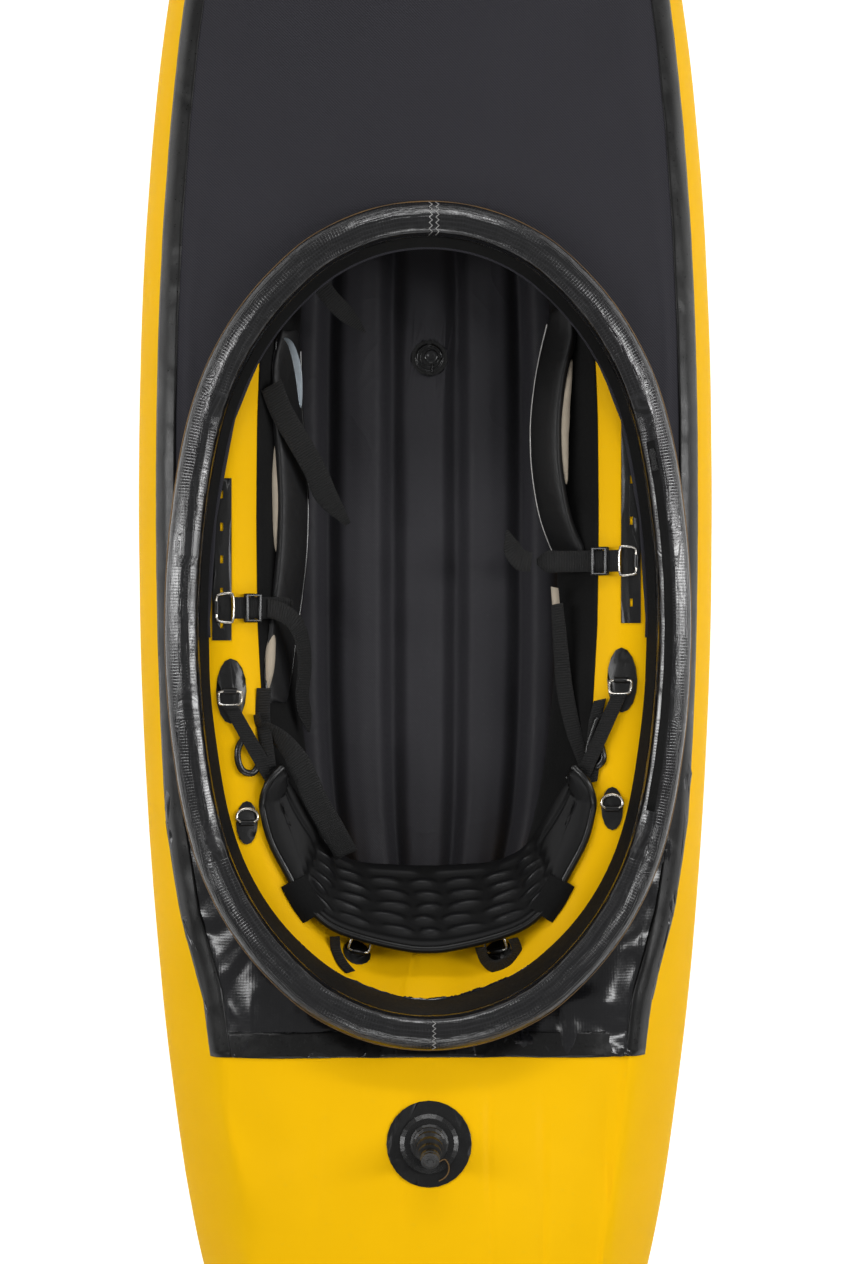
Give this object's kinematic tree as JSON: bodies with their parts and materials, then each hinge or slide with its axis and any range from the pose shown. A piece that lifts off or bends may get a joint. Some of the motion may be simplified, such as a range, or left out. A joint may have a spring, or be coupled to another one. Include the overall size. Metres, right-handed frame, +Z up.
{
  "type": "packraft",
  "caption": "Decked inflatable packraft: tube hull with open cockpit, spray deck, hooped coaming, ribbed floor mat, backband and thigh pads.",
  "frame": {"origin": "on the ground plane under the middle of the hull's length and width", "axes": "+Y to the bow, +Z up, +X to the right as seen facing the bow from the cockpit"},
  "size_m": [0.82, 2.7, 0.3732],
  "materials": {
    "coated_black": "glossy coated fabric",
    "deck_charcoal": "matte woven",
    "floor_black": "satin coated fabric",
    "hull_yellow": "coated fabric, slight sheen",
    "matte_black": "matte fabric",
    "piping_brown": "matte piping",
    "plastic_black": "moulded, satin",
    "ring_steel": "bright wire",
    "webbing_black": "woven webbing"
  },
  "bodies": {
    "hull": {"anchor_strip_left": "coated_black", "anchor_strip_right": "coated_black", "backband_rear_strap_left": "webbing_black", "backband_rear_strap_right": "webbing_black", "backband_side_strap_left": "webbing_black", "backband_side_strap_right": "webbing_black", "coaming_hoop": "plastic_black", "coaming_piping": "piping_brown", "coaming_sleeve": "coated_black", "coaming_wall": "matte_black", "deck_front": "deck_charcoal", "deck_hem_tape": "coated_black", "deck_rear": "coated_black", "deck_tape_left": "coated_black", "deck_tape_right": "coated_black", "floor_mat": "floor_black", "floor_skin": "floor_black", "floor_valve_base": "plastic_black", "hip_patch_left": "coated_black", "hip_patch_right": "coated_black", "hip_ring_left": "ring_steel", "hip_ring_right": "ring_steel", "hull_skin": "hull_yellow", "liner_left": "matte_black", "liner_right": "matte_black", "rear_side_patch_left": "coated_black", "rear_side_patch_right": "coated_black", "rear_valve_body": "plastic_black", "rear_valve_patch": "coated_black", "rear_valve_tube": "plastic_black", "stern_patch_left": "coated_black", "stern_patch_right": "coated_black", "stern_ring_left": "ring_steel", "stern_ring_right": "ring_steel", "thigh_pad_left": "matte_black", "thigh_pad_right": "matte_black", "thigh_side_strap_left": "webbing_black", "thigh_side_strap_right": "webbing_black", "thigh_strap_tail_left": "webbing_black", "triangle_ring_left": "ring_steel", "triangle_ring_right": "ring_steel", "zip_tape": "matte_black"},
    "floor_valve_cap": {"floor_valve_cap": "plastic_black"},
    "rear_valve_stopper": {"rear_valve_stopper": "plastic_black"},
    "zip_slider": {"zip_slider": "plastic_black"},
    "ladder_lock_left": {"ladder_lock_left": "plastic_black"},
    "ladder_lock_right": {"ladder_lock_right": "plastic_black"},
    "rear_side_ring_left": {"rear_side_ring_left": "ring_steel"},
    "rear_side_ring_right": {"rear_side_ring_right": "ring_steel"},
    "backband": {"backband_pad": "matte_black", "backband_shell": "plastic_black", "backband_rim": "coated_black"}
  },
  "joints": [
    {"name": "floor_valve_cap_hinge", "type": "hinge", "parent": "hull", "child": "floor_valve_cap", "pos_m": [0.006, 0.2644, 0.0666], "axis": [-1, 0, 0], "range_deg": [0, 100]},
    {"name": "rear_valve_stopper_slide", "type": "slide", "parent": "hull", "child": "rear_valve_stopper", "axis": [-0.0016, -0.367, 0.9302], "range_m": [0, 0.02]},
    {"name": "zip_slider_run", "type": "hinge", "parent": "hull", "child": "zip_slider", "pos_m": [-0.936, -0.149, 0.29], "axis": [0, 0, -1], "range_deg": [0, 20]},
    {"name": "backband_tilt", "type": "hinge", "parent": "hull", "child": "backband", "pos_m": [0, -0.396, 0.224], "axis": [-1, 0, 0], "range_deg": [0, 30], "deforming": ["backband_side_strap_left", "backband_side_strap_right", "backband_rear_strap_left", "backband_rear_strap_right"]},
    {"name": "ladder_lock_left_slide", "type": "slide", "parent": "hull", "child": "ladder_lock_left", "axis": [0.885, 0, -0.4656], "range_m": [0, 0.018]},
    {"name": "rear_side_ring_left_hinge", "type": "hinge", "parent": "hull", "child": "rear_side_ring_left", "pos_m": [-0.24954, -0.42056, 0.24543], "axis": [0.9894, -0.0099, -0.1447], "range_deg": [0, 150]},
    {"name": "ladder_lock_right_slide", "type": "slide", "parent": "hull", "child": "ladder_lock_right", "axis": [-0.8655, 0, -0.5009], "range_m": [0, 0.018]},
    {"name": "rear_side_ring_right_hinge", "type": "hinge", "parent": "hull", "child": "rear_side_ring_right", "pos_m": [0.25447, -0.4019, 0.24543], "axis": [0.9888, 0.0024, 0.1494], "range_deg": [0, 150]}
  ]
}
